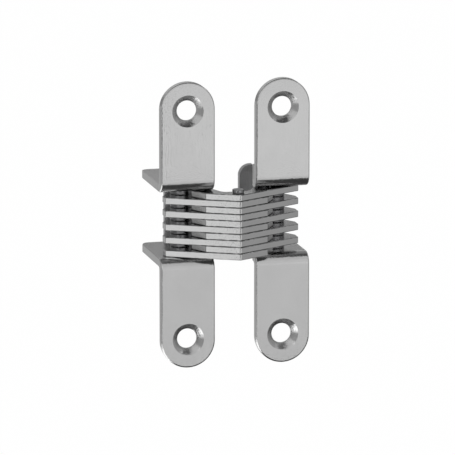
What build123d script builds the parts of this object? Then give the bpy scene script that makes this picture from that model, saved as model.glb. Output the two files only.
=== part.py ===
"""Concealed mortise hinge of folded sheet steel, modelled at 180 degrees open.

Two mirror-image leaves are let into the edges of a door and its frame.  Each leaf is an upper and a
lower bracket (a screw tongue folded into a flange), tied at the back by a plate.  Two sets of flat
links cross at a centre pin.  Every link turns on the pivot pin of one leaf and carries the slide pin
that runs in the curved slots of the other leaf.

Millimetres, +Z up.  The origin is the middle of the left leaf's screw pattern, on the back of the
tongues, which seats on the wood.  +X runs across the hinge to the right leaf and +Y runs from the front
face into the mortise.
"""
import os
from math import asin, atan2, cos, degrees, hypot, pi, radians, sin, sqrt, tan

from build123d import *

# Leaves
leaf_length = 63.0          # tip to tip of the two tongues
leaf_width = 12.0
leaf_gap = 9.2              # between the leaves' inner edges at 180 degrees
flange_depth = 19.2         # front face to the back end of the flange
sheet = 1.8
bend_radius = 0.8           # inside of the fold between tongue and flange
edge_round = 0.35           # die roll on the visible side of the tongue
back_corner_round = 1.6     # outer back corner of the flange
taper_start = 3.3           # depth where the flange's inner edge begins to taper
taper_width = 4.2           # what the taper takes off the flange at its back end
taper_round = 3.0           # where the taper begins

# Countersunk screw holes
screw_spacing = 50.4
screw_hole_d = 4.4
countersink_d = 7.0
countersink_angle = 90.0

# Plate that ties the two brackets at the back
tie_inset = 0.8             # from the leaf's inner edge
tie_width = 6.1
tie_sheet = 1.5
tie_proud = 0.2             # beyond the flanges' outer faces
tie_corner_round = 2.5
tie_seat_gap = 0.02

# Link stack
links_per_set = 5
link_sheet = 1.4
layer_gap = 0.05
link_edge_break = 0.1
front_angle = 28.1          # slope of the links' front edges away from the leaf's face
front_reach = 4.7           # how far the links' front corner stands before the face
front_corner_round = 0.5
crotch_depth = -0.3         # back edge of the link behind the centre pin
crotch_width = 5.6
crotch_round = 1.5
arm_corner = 6.9            # half spacing of the front corners where the pivot arms turn back
tip_overhang = 4.4          # flat end of the link beyond the slide pin
tip_face = 2.4              # length of that flat end
tip_corner_round = 0.35
slide_end_radius = 2.9      # link end round the slide pin
pivot_end_radius = 2.4      # link end round the pivot pin

# Pins
pivot_inset = 2.2           # pivot pin from the leaf's inner edge
pivot_depth = 3.5
pivot_pin_d = 2.0
slide_inset = 5.95          # slide pin from the leaf's inner edge, hinge open
slide_depth = 7.4
slide_pin_d = 2.0
centre_reach = 2.2          # centre pin before the face, hinge open
centre_pin_d = 1.6
centre_head_d = 2.6
centre_head_height = 0.8
sleeve_d = 4.5              # spacer sleeves on the slide pins
washer_d = 3.2              # spacer washers on the pivot pins

# Motion and fits
closed_gap = 2.0            # between the two faces when the hinge is closed
running_clearance = 0.04    # radial, pin in a turning hole
seat_clearance = 0.01       # radial, pin in a hole that it is riveted into
slot_clearance = 0.16       # radial, slide pin in its slot
relief_clearance = 0.3      # link edge to the other leaf's pivot washers
pin_end_inset = 0.1         # slide pin ends below the flanges' outer faces

# Derived places, measured from the hinge's middle plane and the leaves' front face
inner_edge = leaf_gap / 2
outer_edge = inner_edge + leaf_width
leaf_middle = inner_edge + leaf_width / 2
layers = 2 * links_per_set
layer_pitch = link_sheet + layer_gap
flange_z = (layers * layer_pitch + layer_gap) / 2
bracket_z = flange_z + sheet
tongue_centre_z = leaf_length / 2 - leaf_width / 2
outer_bend_radius = bend_radius + sheet
pivot = (inner_edge + pivot_inset, pivot_depth)
slide = (inner_edge + slide_inset, slide_depth)
centre = (0.0, -centre_reach)
tip_x = slide[0] + tip_overhang
pivot_arm = hypot(pivot[0], pivot[1] + centre_reach)
open_spread = atan2(pivot[0], pivot[1] + centre_reach)          # pivot arm from straight back, hinge open
closed_spread = asin((pivot[1] + closed_gap / 2) / pivot_arm)   # and from the closed hinge's middle plane


def layer_z(index):
    """Height of the middle of a layer of the stack, layer 0 at the top."""
    return flange_z - layer_gap - link_sheet / 2 - index * layer_pitch


def slide_place(turn):
    """Where the slide pin lies in the right leaf when that leaf has turned by so many radians.

    The two link sets share the turn evenly with the leaf, from the open hinge to the closed one,
    where the centre pin lies midway between the two faces.
    """
    slide_arm = hypot(slide[0], slide[1] + centre_reach)
    link_angle = open_spread + atan2(slide[0], slide[1] + centre_reach)
    spread = open_spread + (closed_spread - open_spread) * turn / (pi / 2)
    back = (-sin(turn), cos(turn))
    side = (cos(turn), sin(turn))
    place = []
    for axis in (0, 1):
        to_pivot = pivot_arm * (cos(spread) * back[axis] + sin(spread) * side[axis])
        other = link_angle - spread
        to_slide = slide_arm * (cos(other) * back[axis] + sin(other) * side[axis])
        place.append(pivot[axis] - to_pivot + to_slide)
    return tuple(place)


def tangent_point(start, middle, radius, side):
    """Point where a line from start touches a circle; side is 1 for its left and -1 for its right."""
    dx = middle[0] - start[0]
    dy = middle[1] - start[1]
    reach = hypot(dx, dy)
    heading = atan2(dy, dx) + side * asin(radius / reach)
    length = sqrt(reach**2 - radius**2)
    return (start[0] + length * cos(heading), start[1] + length * sin(heading))


def front_edge(across):
    """Depth of the links' front edge at a distance from the middle plane."""
    return abs(across) * tan(radians(front_angle)) - front_reach


def bar(middle, diameter, bottom, top):
    """Upright round bar between two heights."""
    return Pos(middle[0], middle[1], bottom) * Cylinder(
        diameter / 2, top - bottom, align=(Align.CENTER, Align.CENTER, Align.MIN)
    )


def upper_right_bracket():
    """Screw tongue and flange of the right leaf, folded from one strip."""
    tongue_outline = Pos(leaf_middle, tongue_centre_z) * Circle(leaf_width / 2)
    strip_height = tongue_centre_z - flange_z
    tongue_outline += Pos(leaf_middle, flange_z + strip_height / 2) * Rectangle(leaf_width, strip_height)
    tongue = extrude(Plane.XZ * tongue_outline, amount=-sheet)
    flange_outline = make_face(
        Polyline(
            (inner_edge, 0),
            (inner_edge, taper_start),
            (inner_edge + taper_width, flange_depth),
            (outer_edge, flange_depth),
            (outer_edge, 0),
            close=True,
        )
    )
    back_corner = flange_outline.vertices().sort_by_distance((outer_edge, flange_depth, 0))[0]
    flange_outline = fillet(back_corner, back_corner_round)
    taper_corner = flange_outline.vertices().sort_by_distance((inner_edge, taper_start, 0))[0]
    flange_outline = fillet(taper_corner, taper_round)
    flange = extrude(Pos(0, 0, flange_z) * flange_outline, amount=sheet)
    bracket = tongue + flange
    folds = bracket.edges().filter_by(Axis.X)
    bracket = fillet(folds.sort_by_distance((leaf_middle, 0, flange_z))[0], outer_bend_radius)
    folds = bracket.edges().filter_by(Axis.X)
    bracket = fillet(folds.sort_by_distance((leaf_middle, sheet, bracket_z))[0], bend_radius)
    face = bracket.faces().filter_by(Axis.Y).sort_by(Axis.Y)[0]
    rim = face.edges().filter_by(lambda edge: edge.center().Z > flange_z + outer_bend_radius + edge_round)
    bracket = fillet(rim, edge_round)
    hole_axis = Pos(leaf_middle, 0, screw_spacing / 2) * Rot(90, 0, 0)
    bracket -= hole_axis * Cylinder(screw_hole_d / 2, 4 * sheet)
    sink_depth = (countersink_d - screw_hole_d) / 2 / tan(radians(countersink_angle / 2))
    sink = Cone(
        screw_hole_d / 2,
        countersink_d / 2,
        sink_depth,
        align=(Align.CENTER, Align.CENTER, Align.MAX),
    )
    bracket -= hole_axis * sink
    bracket -= bar(pivot, pivot_pin_d + 2 * seat_clearance, flange_z - sheet, bracket_z + sheet)
    track = ThreePointArc(slide_place(0), slide_place(pi / 4), slide_place(pi / 2))
    slot = SlotArc(track, slide_pin_d + 2 * slot_clearance)
    bracket -= extrude(Pos(0, 0, flange_z - sheet) * slot, amount=3 * sheet)
    return bracket


def right_tie_plate():
    """Plate across the back of the right leaf, shouldered between the flanges and keyed into their tapers."""
    taper_slope = taper_width / (flange_depth - taper_start)
    tie_edge = inner_edge + tie_inset
    key_width = (flange_depth - tie_sheet - taper_start) * taper_slope - tie_seat_gap - tie_inset
    key = Pos(tie_edge + key_width / 2, 0) * Rectangle(key_width, 2 * (bracket_z + tie_proud))
    corners = key.vertices().group_by(Axis.X)[0]
    outline = fillet(corners, tie_corner_round)
    outline += Pos(tie_edge + tie_width / 2, 0) * Rectangle(tie_width, 2 * (flange_z - tie_seat_gap))
    return Pos(0, flange_depth, 0) * extrude(Plane.XZ * outline, amount=tie_sheet)


def right_tip_link():
    """Link that turns on the left leaf's pivot pin and carries the right leaf's slide pin.

    As the hinge closes, the right leaf's pivot washers swing out of the hook behind the link's arm.
    """
    own_pivot = (-pivot[0], pivot[1])
    corner = (-arm_corner, front_edge(arm_corner))
    crotch_left = (-crotch_width / 2, crotch_depth)
    crotch_right = (crotch_width / 2, crotch_depth)
    tip_front = (tip_x, front_edge(tip_x))
    tip_back = (tip_x, front_edge(tip_x) + tip_face)
    outline = make_face(
        Polyline(
            (0, -front_reach),
            tip_front,
            tip_back,
            tangent_point(tip_back, slide, slide_end_radius, -1),
            slide,
            tangent_point(crotch_right, slide, slide_end_radius, 1),
            crotch_right,
            crotch_left,
            tangent_point(crotch_left, own_pivot, pivot_end_radius, -1),
            own_pivot,
            tangent_point(corner, own_pivot, pivot_end_radius, 1),
            corner,
            close=True,
        )
    )
    outline += Pos(*slide) * Circle(slide_end_radius)
    outline += Pos(*own_pivot) * Circle(pivot_end_radius)
    washer_angle = 90 - degrees(open_spread)
    washer_path = CenterArc(centre, pivot_arm, washer_angle, 2 * degrees(open_spread - closed_spread))
    outline -= SlotArc(washer_path, washer_d + 2 * relief_clearance)
    for place, radius in (
        ((0, -front_reach), front_corner_round),
        (tip_front, tip_corner_round),
        (tip_back, tip_corner_round),
        (crotch_left, crotch_round),
        (crotch_right, crotch_round),
    ):
        vertex = outline.vertices().sort_by_distance((*place, 0))[0]
        outline = fillet(vertex, radius)
    link = extrude(outline, amount=link_sheet / 2, both=True)
    rims = link.edges().filter_by(Plane.XY)
    link = chamfer(rims, link_edge_break)
    for middle, diameter in (
        (own_pivot, pivot_pin_d + 2 * running_clearance),
        (centre, centre_pin_d + 2 * running_clearance),
        (slide, slide_pin_d + 2 * seat_clearance),
    ):
        link -= bar(middle, diameter, -link_sheet, link_sheet)
    return link


def ring(middle, outside, inside):
    """Flat spacer as thick as a link."""
    return bar(middle, outside, -link_sheet / 2, link_sheet / 2) - bar(middle, inside, -link_sheet, link_sheet)


def centre_pin():
    """Pin that both link sets cross on, with a flat head on top and riveted flush below."""
    pin = bar(centre, centre_pin_d, layer_gap - flange_z, flange_z)
    return pin + bar(centre, centre_head_d, flange_z, flange_z + centre_head_height)


def both_hands(name, right):
    """The right-hand piece and its mirror image about the hinge's middle plane."""
    return {"right_" + name: right, "left_" + name: mirror(right, about=Plane.YZ)}


def build_nodes():
    """Every piece by name, placed about the hinge's middle plane and behind the leaves' front face."""
    bracket = upper_right_bracket()
    nodes = both_hands("upper_bracket", bracket)
    nodes.update(both_hands("lower_bracket", mirror(bracket, about=Plane.XY)))
    nodes.update(both_hands("tie_plate", right_tie_plate()))
    nodes.update(both_hands("pivot_pin", bar(pivot, pivot_pin_d, -bracket_z, bracket_z)))
    slide_end = bracket_z - pin_end_inset
    nodes.update(both_hands("slide_pin", bar(slide, slide_pin_d, -slide_end, slide_end)))
    nodes["centre_pin"] = centre_pin()
    links = both_hands("link", right_tip_link())
    sleeves = both_hands("slide_sleeve", ring(slide, sleeve_d, slide_pin_d + 2 * seat_clearance))
    washers = both_hands("pivot_washer", ring(pivot, washer_d, pivot_pin_d + 2 * seat_clearance))
    for index in range(layers):
        # Links with their tip in the right leaf fill the even layers, from the top one down.
        tip, other = ("right", "left") if index % 2 == 0 else ("left", "right")
        number = str(index // 2 + 1)
        level = Pos(0, 0, layer_z(index))
        nodes[tip + "_tip_link_" + number] = level * links[tip + "_link"]
        nodes[other + "_slide_sleeve_" + number] = level * sleeves[other + "_slide_sleeve"]
        nodes[tip + "_pivot_washer_" + number] = level * washers[tip + "_pivot_washer"]
    return nodes


def main():
    """Write one STEP file for each piece, in the left leaf's frame."""
    os.makedirs("parts", exist_ok=True)
    for name, solid in build_nodes().items():
        export_step(Pos(leaf_middle, -sheet, 0) * solid, os.path.join("parts", name + ".step"))


main()
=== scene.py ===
"""Looks of a concealed mortise hinge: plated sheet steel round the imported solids, on a white floor."""
from math import cos, radians, sin
from typing import NamedTuple

import bmesh
import bpy
from bpy.props import FloatProperty, FloatVectorProperty, IntProperty, PointerProperty
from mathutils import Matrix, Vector


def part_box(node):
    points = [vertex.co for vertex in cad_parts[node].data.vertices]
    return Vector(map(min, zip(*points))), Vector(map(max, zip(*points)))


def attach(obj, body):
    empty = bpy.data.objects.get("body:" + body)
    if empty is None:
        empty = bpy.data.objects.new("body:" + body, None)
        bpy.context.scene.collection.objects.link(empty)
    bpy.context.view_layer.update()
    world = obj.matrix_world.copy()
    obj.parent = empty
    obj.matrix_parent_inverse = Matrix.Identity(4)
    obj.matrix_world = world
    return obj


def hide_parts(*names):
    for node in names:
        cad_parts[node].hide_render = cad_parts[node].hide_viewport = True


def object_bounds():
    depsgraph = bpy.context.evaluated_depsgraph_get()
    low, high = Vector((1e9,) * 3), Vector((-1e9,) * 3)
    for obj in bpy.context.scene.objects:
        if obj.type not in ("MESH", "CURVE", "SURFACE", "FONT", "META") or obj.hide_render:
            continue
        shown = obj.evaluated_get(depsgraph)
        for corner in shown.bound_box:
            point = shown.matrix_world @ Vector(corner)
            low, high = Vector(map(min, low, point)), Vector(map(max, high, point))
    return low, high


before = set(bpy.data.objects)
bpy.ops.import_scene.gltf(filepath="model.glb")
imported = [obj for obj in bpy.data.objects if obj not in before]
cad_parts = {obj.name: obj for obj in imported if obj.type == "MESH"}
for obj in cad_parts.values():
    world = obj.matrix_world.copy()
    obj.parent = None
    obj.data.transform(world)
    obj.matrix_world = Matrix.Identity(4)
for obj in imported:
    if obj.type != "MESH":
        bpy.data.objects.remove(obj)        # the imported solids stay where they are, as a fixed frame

bl_info = {
    "name": "Concealed hinge looks",
    "version": (1, 0, 0),
    "blender": (4, 5, 0),
    "location": "View3D > Sidebar > Hinge",
    "description": "Dresses the solids of a concealed hinge in plated steel and sets a studio round it",
    "category": "Object",
}

CAD_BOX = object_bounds()
SIDES = ("left", "right")
LINK_COUNT = sum(name.startswith("right_tip_link_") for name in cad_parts)
WELD_DISTANCE = 1e-6            # metres, between the corners of neighbouring triangles
FLAT_ANGLE = radians(0.6)       # triangles closer than this to one plane become one face
SHARP_ANGLE = radians(27)       # edges sharper than this are rounded
# rounded edges, marked for bright wear and, on the links, for painted shade in the seams
EDGE_WEAR_AND_SHADE_LAYER = "edge_wear"
NOISE_MIDDLE = 0.5              # the value that a noise texture's factor lies round
GRAIN_DEPTH = 0.00006           # metres, for the bump of the grain
GRAIN_STRENGTH = 0.8            # share of that depth that shows
EDGE_POLISH = 0.6               # roughness of the rounded edges as a share of the faces'
FLOOR_REACH = 6.0               # metres from the hinge to each side of the floor
FLOOR_MATT = 0.9                # colour of the lit floor as a share of the plain one
FLOOR_WHITE = 0.96              # share of plain colour in the floor that is seen; the rest takes shadow
KEY_AZIMUTH = radians(-40)      # soft box, seen from the hinge
KEY_ELEVATION = radians(40)
KEY_DISTANCE = 0.5              # metres
KEY_SIZE = 0.2                  # metres
CLIP_NEAR = 0.1                 # shares of the camera's distance
CLIP_FAR = 20.0
NODE_COLUMN = 220               # spacing in the node editor
NODE_ROW = 200
UP = Vector((0.0, 0.0, 1.0))
QUAD_CORNERS = ((-1, -1), (1, -1), (1, 1), (-1, 1))


class HingeSizes(bpy.types.PropertyGroup):
    """Roundings that the tools and the plating leave on the hinge's edges."""

    sheet_edge: FloatProperty(
        name="Sheet edge",
        description="Rounding of the blanked edges of the brackets and tie plates",
        default=0.00005,
        subtype="DISTANCE",
        unit="LENGTH",
    )
    link_edge: FloatProperty(
        name="Link edge",
        description="Rounding that softens the broken edges of the links",
        default=0.00009,
        subtype="DISTANCE",
        unit="LENGTH",
    )
    pin_edge: FloatProperty(
        name="Pin edge",
        description="Rounding of the ends of the pins, sleeves and washers",
        default=0.00015,
        subtype="DISTANCE",
        unit="LENGTH",
    )
    edge_steps: IntProperty(
        name="Edge steps",
        description="Faces across each rounded edge",
        default=4,
        min=2,
        max=8,
    )


class HingeFinish(bpy.types.PropertyGroup):
    """Colours and gloss of the plated steel."""

    bracket_colour: FloatVectorProperty(
        name="Bracket steel",
        description="Colour of the satin plated brackets",
        default=(0.55, 0.55, 0.55),
        size=3,
        min=0.0,
        max=1.0,
        subtype="COLOR",
    )
    link_colour: FloatVectorProperty(
        name="Link steel",
        description="Colour of the plated links",
        default=(0.58, 0.58, 0.58),
        size=3,
        min=0.0,
        max=1.0,
        subtype="COLOR",
    )
    tie_colour: FloatVectorProperty(
        name="Tie plate steel",
        description="Colour of the plates that tie the brackets",
        default=(0.50, 0.50, 0.505),
        size=3,
        min=0.0,
        max=1.0,
        subtype="COLOR",
    )
    pin_colour: FloatVectorProperty(
        name="Pin steel",
        description="Colour of the drawn pins, sleeves and washers",
        default=(0.25, 0.25, 0.255),
        size=3,
        min=0.0,
        max=1.0,
        subtype="COLOR",
    )
    satin_roughness: FloatProperty(
        name="Satin roughness",
        description="Roughness of the satin plated faces",
        default=0.18,
        min=0.0,
        max=1.0,
        subtype="FACTOR",
    )
    bright_roughness: FloatProperty(
        name="Bright roughness",
        description="Roughness of the links and the pins",
        default=0.15,
        min=0.0,
        max=1.0,
        subtype="FACTOR",
    )
    tie_roughness: FloatProperty(
        name="Tie plate roughness",
        description="Roughness of the plates that tie the brackets",
        default=0.5,
        min=0.0,
        max=1.0,
        subtype="FACTOR",
    )


class HingeStage(bpy.types.PropertyGroup):
    """Camera, light and floor."""

    camera_azimuth: FloatProperty(
        name="Camera azimuth",
        description="Camera's turn to the right of straight ahead",
        default=radians(-14.3),
        subtype="ANGLE",
        unit="ROTATION",
    )
    camera_elevation: FloatProperty(
        name="Camera elevation",
        description="Camera's height above the horizon",
        default=radians(12.0),
        subtype="ANGLE",
        unit="ROTATION",
    )
    frame_width: FloatProperty(
        name="Frame width",
        description="Width of the picture at the hinge",
        default=0.0986,
        subtype="DISTANCE",
        unit="LENGTH",
    )
    aim_left: FloatProperty(
        name="Aim left",
        description="Aim of the camera to the left of the middle of the tongues' faces",
        default=0.00178,
        subtype="DISTANCE",
        unit="LENGTH",
    )
    aim_down: FloatProperty(
        name="Aim down",
        description="Aim of the camera below the middle of the tongues' faces",
        default=0.00084,
        subtype="DISTANCE",
        unit="LENGTH",
    )
    lens: FloatProperty(
        name="Lens",
        description="Focal length in millimetres",
        default=400.0,
        subtype="DISTANCE_CAMERA",
        unit="CAMERA",
    )
    floor_drop: FloatProperty(
        name="Floor drop",
        description="Floor below the hinge's lowest point",
        default=0.060,
        subtype="DISTANCE",
        unit="LENGTH",
    )
    key_power: FloatProperty(
        name="Key light",
        description="Power of the soft box at the left, in watts",
        default=0.15,
        subtype="POWER",
        unit="POWER",
    )
    floor_colour: FloatVectorProperty(
        name="Floor",
        description="Colour of the floor and the background",
        default=(1.0, 1.0, 1.0),
        size=3,
        min=0.0,
        max=1.0,
        subtype="COLOR",
    )


def new_socket(tree, name, direction, kind, value=None):
    """Add a named socket to a node group, with its default value."""
    socket = tree.interface.new_socket(name, in_out=direction, socket_type=kind)
    if value is not None:
        socket.default_value = value


def add_node(tree, kind, place, **values):
    """Add a node at a column and row of the editor, and set its properties and sockets by name."""
    node = tree.nodes.new(kind)
    node.location = (NODE_COLUMN * place[0], -NODE_ROW * place[1])
    for name, value in values.items():
        if hasattr(node, name):
            setattr(node, name, value)
        else:
            node.inputs[name.replace("_", " ").title()].default_value = value
    return node


def new_shader_group(name, inputs, outputs):
    """A shader node group with float or vector inputs and float outputs, ready to be filled."""
    tree = bpy.data.node_groups.new(name, "ShaderNodeTree")
    for label, kind, value in inputs:
        new_socket(tree, label, "INPUT", kind, value)
    for label in outputs:
        new_socket(tree, label, "OUTPUT", "NodeSocketFloat")
    return tree, add_node(tree, "NodeGroupInput", (0, 0)), add_node(tree, "NodeGroupOutput", (6, 0))


def ground_grain_group():
    """Fine grain of ground and plated sheet: streaks along one direction with specks between them."""
    tree, given, result = new_shader_group(
        "ground_grain",
        [
            ("Stretch", "NodeSocketVector", (1.0, 1.0, 1.0)),
            ("Streak Scale", "NodeSocketFloat", 4000.0),
            ("Speck Scale", "NodeSocketFloat", 3200.0),
        ],
        ["Grain", "Height"],
    )
    link = tree.links.new
    place = add_node(tree, "ShaderNodeTexCoord", (0, 1))
    stretch = add_node(tree, "ShaderNodeMapping", (1, 1))
    streaks = add_node(tree, "ShaderNodeTexNoise", (2, 0), detail=3.0, roughness=0.6)
    specks = add_node(tree, "ShaderNodeTexNoise", (2, 1), detail=2.0, roughness=0.5)
    height = add_node(tree, "ShaderNodeMath", (3, 1), operation="MULTIPLY")
    link(place.outputs["Object"], stretch.inputs["Vector"])
    link(given.outputs["Stretch"], stretch.inputs["Scale"])
    link(stretch.outputs["Vector"], streaks.inputs["Vector"])
    link(given.outputs["Streak Scale"], streaks.inputs["Scale"])
    link(place.outputs["Object"], specks.inputs["Vector"])
    link(given.outputs["Speck Scale"], specks.inputs["Scale"])
    link(streaks.outputs["Fac"], height.inputs[0])
    link(specks.outputs["Fac"], height.inputs[1])
    link(streaks.outputs["Fac"], result.inputs["Grain"])
    link(height.outputs["Value"], result.inputs["Height"])
    return tree


def plating_tone_group():
    """Slow change of the plating's tone over a face, as a factor that lies round 1."""
    tree, given, result = new_shader_group(
        "plating_tone",
        [("Scale", "NodeSocketFloat", 160.0), ("Spread", "NodeSocketFloat", 0.1)],
        ["Tone"],
    )
    link = tree.links.new
    place = add_node(tree, "ShaderNodeTexCoord", (0, 1))
    cloud = add_node(tree, "ShaderNodeTexNoise", (1, 1), detail=2.0, roughness=0.5)
    centred = add_node(tree, "ShaderNodeMath", (2, 1), operation="SUBTRACT")
    centred.inputs[1].default_value = NOISE_MIDDLE
    scaled = add_node(tree, "ShaderNodeMath", (3, 1), operation="MULTIPLY")
    tone = add_node(tree, "ShaderNodeMath", (4, 1), operation="ADD")
    tone.inputs[1].default_value = 1.0
    link(place.outputs["Object"], cloud.inputs["Vector"])
    link(given.outputs["Scale"], cloud.inputs["Scale"])
    link(cloud.outputs["Fac"], centred.inputs[0])
    link(centred.outputs["Value"], scaled.inputs[0])
    link(given.outputs["Spread"], scaled.inputs[1])
    link(scaled.outputs["Value"], tone.inputs[0])
    link(tone.outputs["Value"], result.inputs["Tone"])
    return tree


def edge_wear_group():
    """Where the rounded edges get another tone, broken up along their length: bright wear on most steels,
    painted shade of the seams on the links.
    """
    tree, given, result = new_shader_group(
        "edge_wear",
        [("Amount", "NodeSocketFloat", 0.6), ("Patch Scale", "NodeSocketFloat", 900.0)],
        ["Worn"],
    )
    link = tree.links.new
    edge = add_node(tree, "ShaderNodeAttribute", (0, 1), attribute_name=EDGE_WEAR_AND_SHADE_LAYER)
    place = add_node(tree, "ShaderNodeTexCoord", (0, 2))
    patches = add_node(tree, "ShaderNodeTexNoise", (1, 2), detail=3.0, roughness=0.6)
    spread = add_node(tree, "ShaderNodeMapRange", (2, 2), from_min=0.35, from_max=0.65)
    on_edge = add_node(tree, "ShaderNodeMath", (3, 1), operation="MULTIPLY")
    edge_wear_and_shade = add_node(tree, "ShaderNodeMath", (4, 1), operation="MULTIPLY", use_clamp=True)
    link(place.outputs["Object"], patches.inputs["Vector"])
    link(given.outputs["Patch Scale"], patches.inputs["Scale"])
    link(patches.outputs["Fac"], spread.inputs["Value"])
    link(edge.outputs["Fac"], on_edge.inputs[0])
    link(spread.outputs["Result"], on_edge.inputs[1])
    link(on_edge.outputs["Value"], edge_wear_and_shade.inputs[0])
    link(given.outputs["Amount"], edge_wear_and_shade.inputs[1])
    link(edge_wear_and_shade.outputs["Value"], result.inputs["Worn"])
    return tree


def shared_group(name, build):
    """The shader group of that name, built the first time it is asked for."""
    return bpy.data.node_groups.get(name) or build()


def place_group(tree, name, build, place, values):
    """Put a shared shader group into a material, with its own values."""
    node = add_node(tree, "ShaderNodeGroup", place, node_tree=shared_group(name, build))
    for label, value in values.items():
        node.inputs[label].default_value = value
    return node


class Steel(NamedTuple):
    """How one of the record's steel slots looks."""

    material: str           # name of the material
    colour: str             # name of the colour among the finish settings
    roughness: str          # name of the roughness among the finish settings
    stretch: tuple          # scale of the grain along x, y and z; the streaks run where it is small
    grain_spread: float     # change of roughness, up and down, between the streaks
    tone_spread: float      # change of the plating's tone over a face
    edge_tone: float        # colour of the rounded edges as a share of the faces'
    edge_amount: float      # how much of that shows; past 1 it fills more of the edges' length


STEELS = {
    "bracket_steel": Steel(
        material="satin_bracket_plate",
        colour="bracket_colour",
        roughness="satin_roughness",
        stretch=(1.0, 1.0, 0.08),
        grain_spread=0.05,
        tone_spread=0.10,
        edge_tone=1.25,
        edge_amount=0.7,
    ),
    "link_steel": Steel(
        material="bright_link_plate",
        colour="link_colour",
        roughness="bright_roughness",
        stretch=(0.1, 0.1, 1.0),
        grain_spread=0.05,
        tone_spread=0.12,
        edge_tone=0.15,     # painted shade of the seams, where the links lie on each other
        edge_amount=2.0,
    ),
    "tie_steel": Steel(
        material="satin_tie_plate",
        colour="tie_colour",
        roughness="tie_roughness",
        stretch=(1.0, 1.0, 0.08),
        grain_spread=0.05,
        tone_spread=0.12,
        edge_tone=1.25,
        edge_amount=0.7,
    ),
    "pin_steel": Steel(
        material="oiled_pin_steel",
        colour="pin_colour",
        roughness="bright_roughness",
        stretch=(1.0, 1.0, 0.1),
        grain_spread=0.06,
        tone_spread=0.15,
        edge_tone=1.25,
        edge_amount=0.7,
    ),
}


def plated_steel(slot):
    """The steel of one of the record's slots: a ground grain, an uneven tone and edges of another tone."""
    look = STEELS[slot]
    material = bpy.data.materials.get(look.material)
    if material:
        return material
    finish = bpy.context.scene.hinge_finish
    colour = getattr(finish, look.colour)
    roughness = getattr(finish, look.roughness)
    material = bpy.data.materials.new(look.material)
    material.use_nodes = True
    tree = material.node_tree
    tree.nodes.clear()
    link = tree.links.new
    grain = place_group(tree, "ground_grain", ground_grain_group, (0, 2), {"Stretch": look.stretch})
    tone = place_group(tree, "plating_tone", plating_tone_group, (0, 0), {"Spread": look.tone_spread})
    wear_and_shade_marks = place_group(tree, "edge_wear", edge_wear_group, (0, 1), {"Amount": look.edge_amount})
    toned = add_node(tree, "ShaderNodeMix", (1, 0), data_type="RGBA", blend_type="MULTIPLY")
    toned.inputs["Factor"].default_value = 1.0
    toned.inputs["A"].default_value = (*colour, 1.0)
    # the rounded edges' colour: bright wear on most steels, painted shade of the seams on the links
    edge_wear_and_shade = add_node(tree, "ShaderNodeMix", (2, 0), data_type="RGBA")
    edge_wear_and_shade.inputs["B"].default_value = (*(min(1.0, look.edge_tone * part) for part in colour), 1.0)
    rough = add_node(tree, "ShaderNodeMapRange", (1, 2))
    rough.inputs["To Min"].default_value = roughness - look.grain_spread
    rough.inputs["To Max"].default_value = roughness + look.grain_spread
    polish = add_node(tree, "ShaderNodeMix", (2, 1), data_type="FLOAT")
    polish.inputs["B"].default_value = EDGE_POLISH * roughness
    bump = add_node(tree, "ShaderNodeBump", (2, 2), strength=GRAIN_STRENGTH, distance=GRAIN_DEPTH)
    surface = add_node(tree, "ShaderNodeBsdfPrincipled", (3, 0), metallic=1.0)
    result = add_node(tree, "ShaderNodeOutputMaterial", (4, 0))
    link(tone.outputs["Tone"], toned.inputs["B"])
    link(toned.outputs["Result"], edge_wear_and_shade.inputs["A"])
    link(wear_and_shade_marks.outputs["Worn"], edge_wear_and_shade.inputs["Factor"])
    link(edge_wear_and_shade.outputs["Result"], surface.inputs["Base Color"])
    link(grain.outputs["Grain"], rough.inputs["Value"])
    link(rough.outputs["Result"], polish.inputs["A"])
    link(wear_and_shade_marks.outputs["Worn"], polish.inputs["Factor"])
    link(polish.outputs["Result"], surface.inputs["Roughness"])
    link(grain.outputs["Height"], bump.inputs["Height"])
    link(bump.outputs["Normal"], surface.inputs["Normal"])
    link(surface.outputs["BSDF"], result.inputs["Surface"])
    return material


def softened_copy(node, rounding):
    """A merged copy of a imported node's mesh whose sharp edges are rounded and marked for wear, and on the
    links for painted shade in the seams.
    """
    steps = bpy.context.scene.hinge_sizes.edge_steps
    mesh = bmesh.new()
    mesh.from_mesh(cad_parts[node].data)
    bmesh.ops.remove_doubles(mesh, verts=mesh.verts, dist=WELD_DISTANCE)
    bmesh.ops.dissolve_limit(mesh, angle_limit=FLAT_ANGLE, verts=mesh.verts, edges=mesh.edges)
    sharp = [edge for edge in mesh.edges if edge.is_manifold and edge.calc_face_angle() > SHARP_ANGLE]
    if not sharp:
        raise RuntimeError(node + " has no sharp edge to round")
    made = bmesh.ops.bevel(
        mesh,
        geom=sharp,
        offset=rounding,
        offset_type="OFFSET",
        segments=steps,
        profile=0.5,
        affect="EDGES",
        clamp_overlap=True,
    )
    rounded = set(made["faces"])
    wear_and_shade_marks = mesh.verts.layers.float.new(EDGE_WEAR_AND_SHADE_LAYER)
    for vertex in mesh.verts:
        vertex[wear_and_shade_marks] = float(all(face in rounded for face in vertex.link_faces))
    for face in mesh.faces:
        face.smooth = True
    data = bpy.data.meshes.new(node)
    mesh.to_mesh(data)
    mesh.free()
    return data


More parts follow.
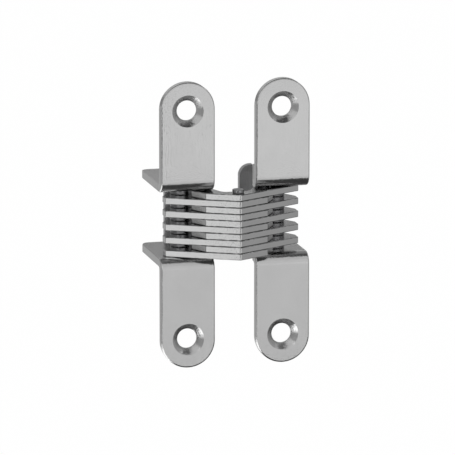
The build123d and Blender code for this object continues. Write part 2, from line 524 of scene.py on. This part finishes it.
def stack_tree():
    """Geometry nodes that repeat a flat piece straight down a pin."""
    tree = bpy.data.node_groups.get("pin_stack")
    if tree:
        return tree
    tree = bpy.data.node_groups.new("pin_stack", "GeometryNodeTree")
    new_socket(tree, "Geometry", "INPUT", "NodeSocketGeometry")
    new_socket(tree, "Count", "INPUT", "NodeSocketInt", 5)
    new_socket(tree, "Drop", "INPUT", "NodeSocketFloat", 0.003)
    new_socket(tree, "Material", "INPUT", "NodeSocketMaterial")
    new_socket(tree, "Geometry", "OUTPUT", "NodeSocketGeometry")
    link = tree.links.new
    given = add_node(tree, "NodeGroupInput", (0, 0))
    down = add_node(tree, "ShaderNodeMath", (1, 2), operation="MULTIPLY")
    down.inputs[1].default_value = -1.0
    step = add_node(tree, "ShaderNodeCombineXYZ", (2, 2))
    places = add_node(tree, "GeometryNodeMeshLine", (3, 1), mode="OFFSET")
    copies = add_node(tree, "GeometryNodeInstanceOnPoints", (4, 0))
    real = add_node(tree, "GeometryNodeRealizeInstances", (5, 0))
    steel = add_node(tree, "GeometryNodeSetMaterial", (6, 0))
    result = add_node(tree, "NodeGroupOutput", (7, 0))
    link(given.outputs["Drop"], down.inputs[0])
    link(down.outputs["Value"], step.inputs["Z"])
    link(given.outputs["Count"], places.inputs["Count"])
    link(step.outputs["Vector"], places.inputs["Offset"])
    link(places.outputs["Mesh"], copies.inputs["Points"])
    link(given.outputs["Geometry"], copies.inputs["Instance"])
    link(copies.outputs["Instances"], real.inputs["Geometry"])
    link(real.outputs["Geometry"], steel.inputs["Geometry"])
    link(given.outputs["Material"], steel.inputs["Material"])
    link(steel.outputs["Geometry"], result.inputs["Geometry"])
    return tree


def set_inputs(modifier, values):
    """Set a geometry nodes modifier's inputs, found by name and set by identifier."""
    for item in modifier.node_group.interface.items_tree:
        if item.in_out == "INPUT" and item.name in values:
            modifier[item.identifier] = values[item.name]


def settle(piece):
    """Turn a piece with its modifiers into a plain mesh."""
    graph = bpy.context.evaluated_depsgraph_get()
    plain = bpy.data.meshes.new_from_object(piece.evaluated_get(graph))
    piece.modifiers.clear()
    piece.data = plain
    plain.name = piece.name


def new_piece(name, data, nodes, body, slot, drop=None):
    """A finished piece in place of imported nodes; with a drop, it is repeated down its pin."""
    piece = bpy.data.objects.new(name, data)
    bpy.context.scene.collection.objects.link(piece)
    data.materials.append(plated_steel(slot))
    if drop is not None:
        stack = piece.modifiers.new("stack", "NODES")
        stack.node_group = stack_tree()
        set_inputs(stack, {"Count": len(nodes), "Drop": drop, "Material": plated_steel(slot)})
    piece.modifiers.new("flat_faces", "WEIGHTED_NORMAL")
    settle(piece)
    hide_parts(*nodes)
    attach(piece, body)


def single_piece(node, body, slot, rounding):
    """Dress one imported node."""
    new_piece(node + "_dressed", softened_copy(node, rounding), [node], body, slot)


def stacked_pieces(base, body, slot, rounding):
    """Dress a numbered row of like nodes that share a pin."""
    nodes = [base + "_" + str(number) for number in range(1, LINK_COUNT + 1)]
    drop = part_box(nodes[0])[0].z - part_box(nodes[1])[0].z
    new_piece(base + "s", softened_copy(nodes[0], rounding), nodes, body, slot, drop)


class HINGE_OT_brackets(bpy.types.Operator):
    """Dress the four folded brackets."""

    bl_idname = "hinge.brackets"
    bl_label = "Brackets"

    def execute(self, context):
        for side in SIDES:
            for level in ("upper", "lower"):
                node = side + "_" + level + "_bracket"
                single_piece(node, side + "_leaf", "bracket_steel", context.scene.hinge_sizes.sheet_edge)
        return {"FINISHED"}


class HINGE_OT_tie_plates(bpy.types.Operator):
    """Dress the plates that tie the brackets at the back."""

    bl_idname = "hinge.tie_plates"
    bl_label = "Tie plates"

    def execute(self, context):
        for side in SIDES:
            single_piece(
                side + "_tie_plate", side + "_leaf", "tie_steel", context.scene.hinge_sizes.sheet_edge
            )
        return {"FINISHED"}


class HINGE_OT_links(bpy.types.Operator):
    """Dress the two crossed sets of links."""

    bl_idname = "hinge.links"
    bl_label = "Links"

    def execute(self, context):
        for side in SIDES:
            stacked_pieces(
                side + "_tip_link", side + "_tip_links", "link_steel", context.scene.hinge_sizes.link_edge
            )
        return {"FINISHED"}


class HINGE_OT_spacers(bpy.types.Operator):
    """Dress the sleeves on the slide pins and the washers on the pivot pins."""

    bl_idname = "hinge.spacers"
    bl_label = "Sleeves and washers"

    def execute(self, context):
        rounding = context.scene.hinge_sizes.pin_edge
        for side in SIDES:
            stacked_pieces(side + "_slide_sleeve", side + "_tip_links", "pin_steel", rounding)
            stacked_pieces(side + "_pivot_washer", side + "_leaf", "pin_steel", rounding)
        return {"FINISHED"}


class HINGE_OT_pins(bpy.types.Operator):
    """Dress the pivot pins, the slide pins and the centre pin."""

    bl_idname = "hinge.pins"
    bl_label = "Pins"

    def execute(self, context):
        rounding = context.scene.hinge_sizes.pin_edge
        for side in SIDES:
            single_piece(side + "_pivot_pin", side + "_leaf", "pin_steel", rounding)
            single_piece(side + "_slide_pin", side + "_tip_links", "pin_steel", rounding)
        single_piece("centre_pin", "right_tip_links", "pin_steel", rounding)
        return {"FINISHED"}


def around(azimuth, elevation):
    """Direction from the hinge; azimuth 0 is straight ahead of its face and grows to the right."""
    return Vector((sin(azimuth) * cos(elevation), -cos(azimuth) * cos(elevation), sin(elevation)))


def background_mask(tree, place):
    """1 for the rays that see the white background, from the camera, off metal or through glass."""
    link = tree.links.new
    path = add_node(tree, "ShaderNodeLightPath", place)
    camera_or_gloss = add_node(tree, "ShaderNodeMath", (place[0] + 1, place[1]), operation="MAXIMUM")
    seen = add_node(tree, "ShaderNodeMath", (place[0] + 2, place[1]), operation="MAXIMUM")
    link(path.outputs["Is Camera Ray"], camera_or_gloss.inputs[0])
    link(path.outputs["Is Glossy Ray"], camera_or_gloss.inputs[1])
    link(camera_or_gloss.outputs["Value"], seen.inputs[0])
    link(path.outputs["Is Transmission Ray"], seen.inputs[1])
    return seen.outputs["Value"]


def floor_material(colour):
    """Matt white floor that the camera sees as plain white, with a faint shadow left on it."""
    material = bpy.data.materials.new("studio_floor")
    material.use_nodes = True
    tree = material.node_tree
    tree.nodes.clear()
    link = tree.links.new
    mask = background_mask(tree, (0, 1))
    share = add_node(tree, "ShaderNodeMath", (3, 1), operation="MULTIPLY")
    share.inputs[1].default_value = FLOOR_WHITE
    matt = add_node(tree, "ShaderNodeBsdfDiffuse", (3, 0))
    matt.inputs["Color"].default_value = (*(FLOOR_MATT * part for part in colour), 1.0)
    white = add_node(tree, "ShaderNodeEmission", (3, 2))
    white.inputs["Color"].default_value = (*colour, 1.0)
    mix = add_node(tree, "ShaderNodeMixShader", (4, 0))
    result = add_node(tree, "ShaderNodeOutputMaterial", (5, 0))
    link(mask, share.inputs[0])
    link(share.outputs["Value"], mix.inputs["Fac"])
    link(matt.outputs["BSDF"], mix.inputs[1])
    link(white.outputs["Emission"], mix.inputs[2])
    link(mix.outputs["Shader"], result.inputs["Surface"])
    return material


def card_material(name, level):
    """Card of an even grey that only shows in reflections."""
    material = bpy.data.materials.new(name)
    material.use_nodes = True
    tree = material.node_tree
    tree.nodes.clear()
    glow = add_node(tree, "ShaderNodeEmission", (0, 0))
    glow.inputs["Color"].default_value = (level, level, level, 1.0)
    result = add_node(tree, "ShaderNodeOutputMaterial", (1, 0))
    tree.links.new(glow.outputs["Emission"], result.inputs["Surface"])
    return material


def flat_quad(name, corners, material):
    """A flat four-cornered stage piece."""
    data = bpy.data.meshes.new(name)
    data.from_pydata(corners, [], [range(len(corners))])
    data.materials.append(material)
    quad = bpy.data.objects.new(name, data)
    bpy.context.scene.collection.objects.link(quad)
    return quad


class Card(NamedTuple):
    """A card that stands round the hinge, faces it and shows only in reflections."""

    azimuth: float          # degrees to the right of straight ahead
    elevation: float        # degrees above the horizon
    distance: float         # metres from the hinge's middle
    width: float            # metres
    height: float           # metres
    level: float            # grey level, where 1 is the background's white
    back: float = 0.0       # metres that it is moved to the back


# Each card's comment names what mirrors it most in the camera's view
CARDS = {
    "high_back_card": Card(180, 29, 0.20, 0.44, 0.078, 0.66),               # top rims of the upper tongues
    "middle_back_card": Card(180, 9.2, 0.20, 0.44, 0.061, 0.29),            # tops of the flanges and links
    "low_back_card": Card(180, -20, 0.20, 0.44, 0.14, 0.50),                # left edges of the brackets
    "right_card": Card(88, -5, 0.15, 0.30, 0.26, 0.44),                     # right faces of the links
    "right_back_card": Card(108, -5, 0.145, 0.10, 0.26, 0.26),              # countersinks, at the left
    "left_card": Card(-105, 0, 0.20, 0.48, 0.30, 0.42),                     # countersinks and left links
    "top_card": Card(0, 80, 0.143, 0.30, 0.085, 0.08),                      # lower folds and countersinks
    "top_back_card": Card(180, 60, 0.136, 0.30, 0.12, 0.30),                # lower right fold, at its end
    "high_front_card": Card(-20, 50, 0.14, 0.56, 0.09, 0.74),               # lower folds, at the front
    "front_card": Card(14, 19, 0.14, 0.20, 0.07, 0.84),                     # faces of the upper tongues
    "low_card": Card(90, -80, 0.085, 0.17, 0.10, 0.06, back=-0.045),        # upper folds and lower rims
    "low_behind_card": Card(90, -80, 0.085, 0.09, 0.10, 0.20, back=0.085),  # upper right fold, at its end
    "low_right_card": Card(90, -45, 0.10, 0.26, 0.056, 0.12),               # countersinks, at the upper left
    "low_left_card": Card(-90, -54.7, 0.0925, 0.20, 0.043, 2.0),            # glint of the countersinks
    "low_front_card": Card(14, -19.5, 0.138, 0.20, 0.052, 0.85),            # faces of the lower tongues
    "fold_card": Card(12.8, -9.6, 0.07, 0.036, 0.0137, 0.85),               # strip below the lower folds
    "crease_card": Card(-18, -12, 0.16, 0.088, 0.086, 0.02),                # front corner of the links
}


def grey_card(name, card, middle):
    """Stand a card round the hinge's middle, to shape what the metal mirrors."""
    direction = around(radians(card.azimuth), radians(card.elevation))
    across = direction.cross(UP).normalized()
    upward = across.cross(direction)
    centre = middle + card.distance * direction + Vector((0.0, card.back, 0.0))
    corners = [
        centre + side * card.width / 2 * across + rise * card.height / 2 * upward
        for side, rise in QUAD_CORNERS
    ]
    quad = flat_quad(name, corners, card_material(name, card.level))
    quad.visible_camera = False
    quad.visible_diffuse = False
    quad.visible_shadow = False
    quad.visible_transmission = False


def soft_box(name, middle, power):
    """A square soft light that faces the hinge."""
    light = bpy.data.lights.new(name, "AREA")
    light.shape = "SQUARE"
    light.size = KEY_SIZE
    light.energy = power
    lamp = bpy.data.objects.new(name, light)
    direction = around(KEY_AZIMUTH, KEY_ELEVATION)
    lamp.location = middle + KEY_DISTANCE * direction
    lamp.rotation_euler = (-direction).to_track_quat("-Z", "Y").to_euler()
    bpy.context.scene.collection.objects.link(lamp)


def white_world(colour):
    """White background that gives plain, even light."""
    world = bpy.data.worlds.new("studio")
    world.use_nodes = True
    tree = world.node_tree
    tree.nodes.clear()
    white = add_node(tree, "ShaderNodeBackground", (0, 0))
    white.inputs["Color"].default_value = (*colour, 1.0)
    result = add_node(tree, "ShaderNodeOutputWorld", (1, 0))
    tree.links.new(white.outputs["Background"], result.inputs["Surface"])
    bpy.context.scene.world = world


def photo_camera(stage, middle):
    """A camera at the photo's viewing angle, aimed near the middle of the tongues' faces."""
    forward = -around(stage.camera_azimuth, stage.camera_elevation)
    right = forward.cross(UP).normalized()
    upward = right.cross(forward)
    face_middle = Vector((middle.x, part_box("left_upper_bracket")[0].y, 0.0))
    target = face_middle - stage.aim_left * right - stage.aim_down * upward
    lens = bpy.data.cameras.new("camera")
    lens.lens = stage.lens
    distance = stage.frame_width * lens.lens / lens.sensor_width
    lens.clip_start = CLIP_NEAR * distance
    lens.clip_end = CLIP_FAR * distance
    camera = bpy.data.objects.new("camera", lens)
    camera.location = target - distance * forward
    camera.rotation_euler = forward.to_track_quat("-Z", "Y").to_euler()
    bpy.context.scene.collection.objects.link(camera)
    bpy.context.scene.camera = camera


class HINGE_OT_stage(bpy.types.Operator):
    """Set the floor, the light and the camera."""

    bl_idname = "hinge.stage"
    bl_label = "Studio"

    def execute(self, context):
        stage = context.scene.hinge_stage
        low, high = CAD_BOX
        middle = (low + high) / 2
        floor_z = low.z - stage.floor_drop
        corners = [(x * FLOOR_REACH, y * FLOOR_REACH, floor_z) for x, y in QUAD_CORNERS]
        flat_quad("studio_floor", corners, floor_material(stage.floor_colour))
        white_world(stage.floor_colour)
        for name, card in CARDS.items():
            grey_card(name, card, middle)
        soft_box("left_soft_box", middle, stage.key_power)
        photo_camera(stage, middle)
        context.scene.view_settings.view_transform = "Standard"
        return {"FINISHED"}


STEPS = (
    HINGE_OT_brackets,
    HINGE_OT_tie_plates,
    HINGE_OT_links,
    HINGE_OT_spacers,
    HINGE_OT_pins,
    HINGE_OT_stage,
)


class HINGE_PT_looks(bpy.types.Panel):
    """Sizes, finish and steps of the hinge's looks."""

    bl_idname = "HINGE_PT_looks"
    bl_label = "Concealed hinge"
    bl_space_type = "VIEW_3D"
    bl_region_type = "UI"
    bl_category = "Hinge"

    def draw(self, context):
        for settings in GROUPS:
            for name in settings.__annotations__:
                self.layout.prop(getattr(context.scene, GROUPS[settings]), name)
        for step in STEPS:
            self.layout.operator(step.bl_idname)


GROUPS = {HingeSizes: "hinge_sizes", HingeFinish: "hinge_finish", HingeStage: "hinge_stage"}
CLASSES = (*GROUPS, *STEPS, HINGE_PT_looks)


def register():
    """Make the settings and the steps known to Blender."""
    for kind in CLASSES:
        bpy.utils.register_class(kind)
    for settings, name in GROUPS.items():
        setattr(bpy.types.Scene, name, PointerProperty(type=settings))


def unregister():
    """Take them out again."""
    for name in GROUPS.values():
        delattr(bpy.types.Scene, name)
    for kind in reversed(CLASSES):
        bpy.utils.unregister_class(kind)


def main():
    """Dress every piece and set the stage."""
    register()
    bpy.ops.hinge.brackets()
    bpy.ops.hinge.tie_plates()
    bpy.ops.hinge.links()
    bpy.ops.hinge.spacers()
    bpy.ops.hinge.pins()
    bpy.ops.hinge.stage()


if __name__ == "__main__":
    main()
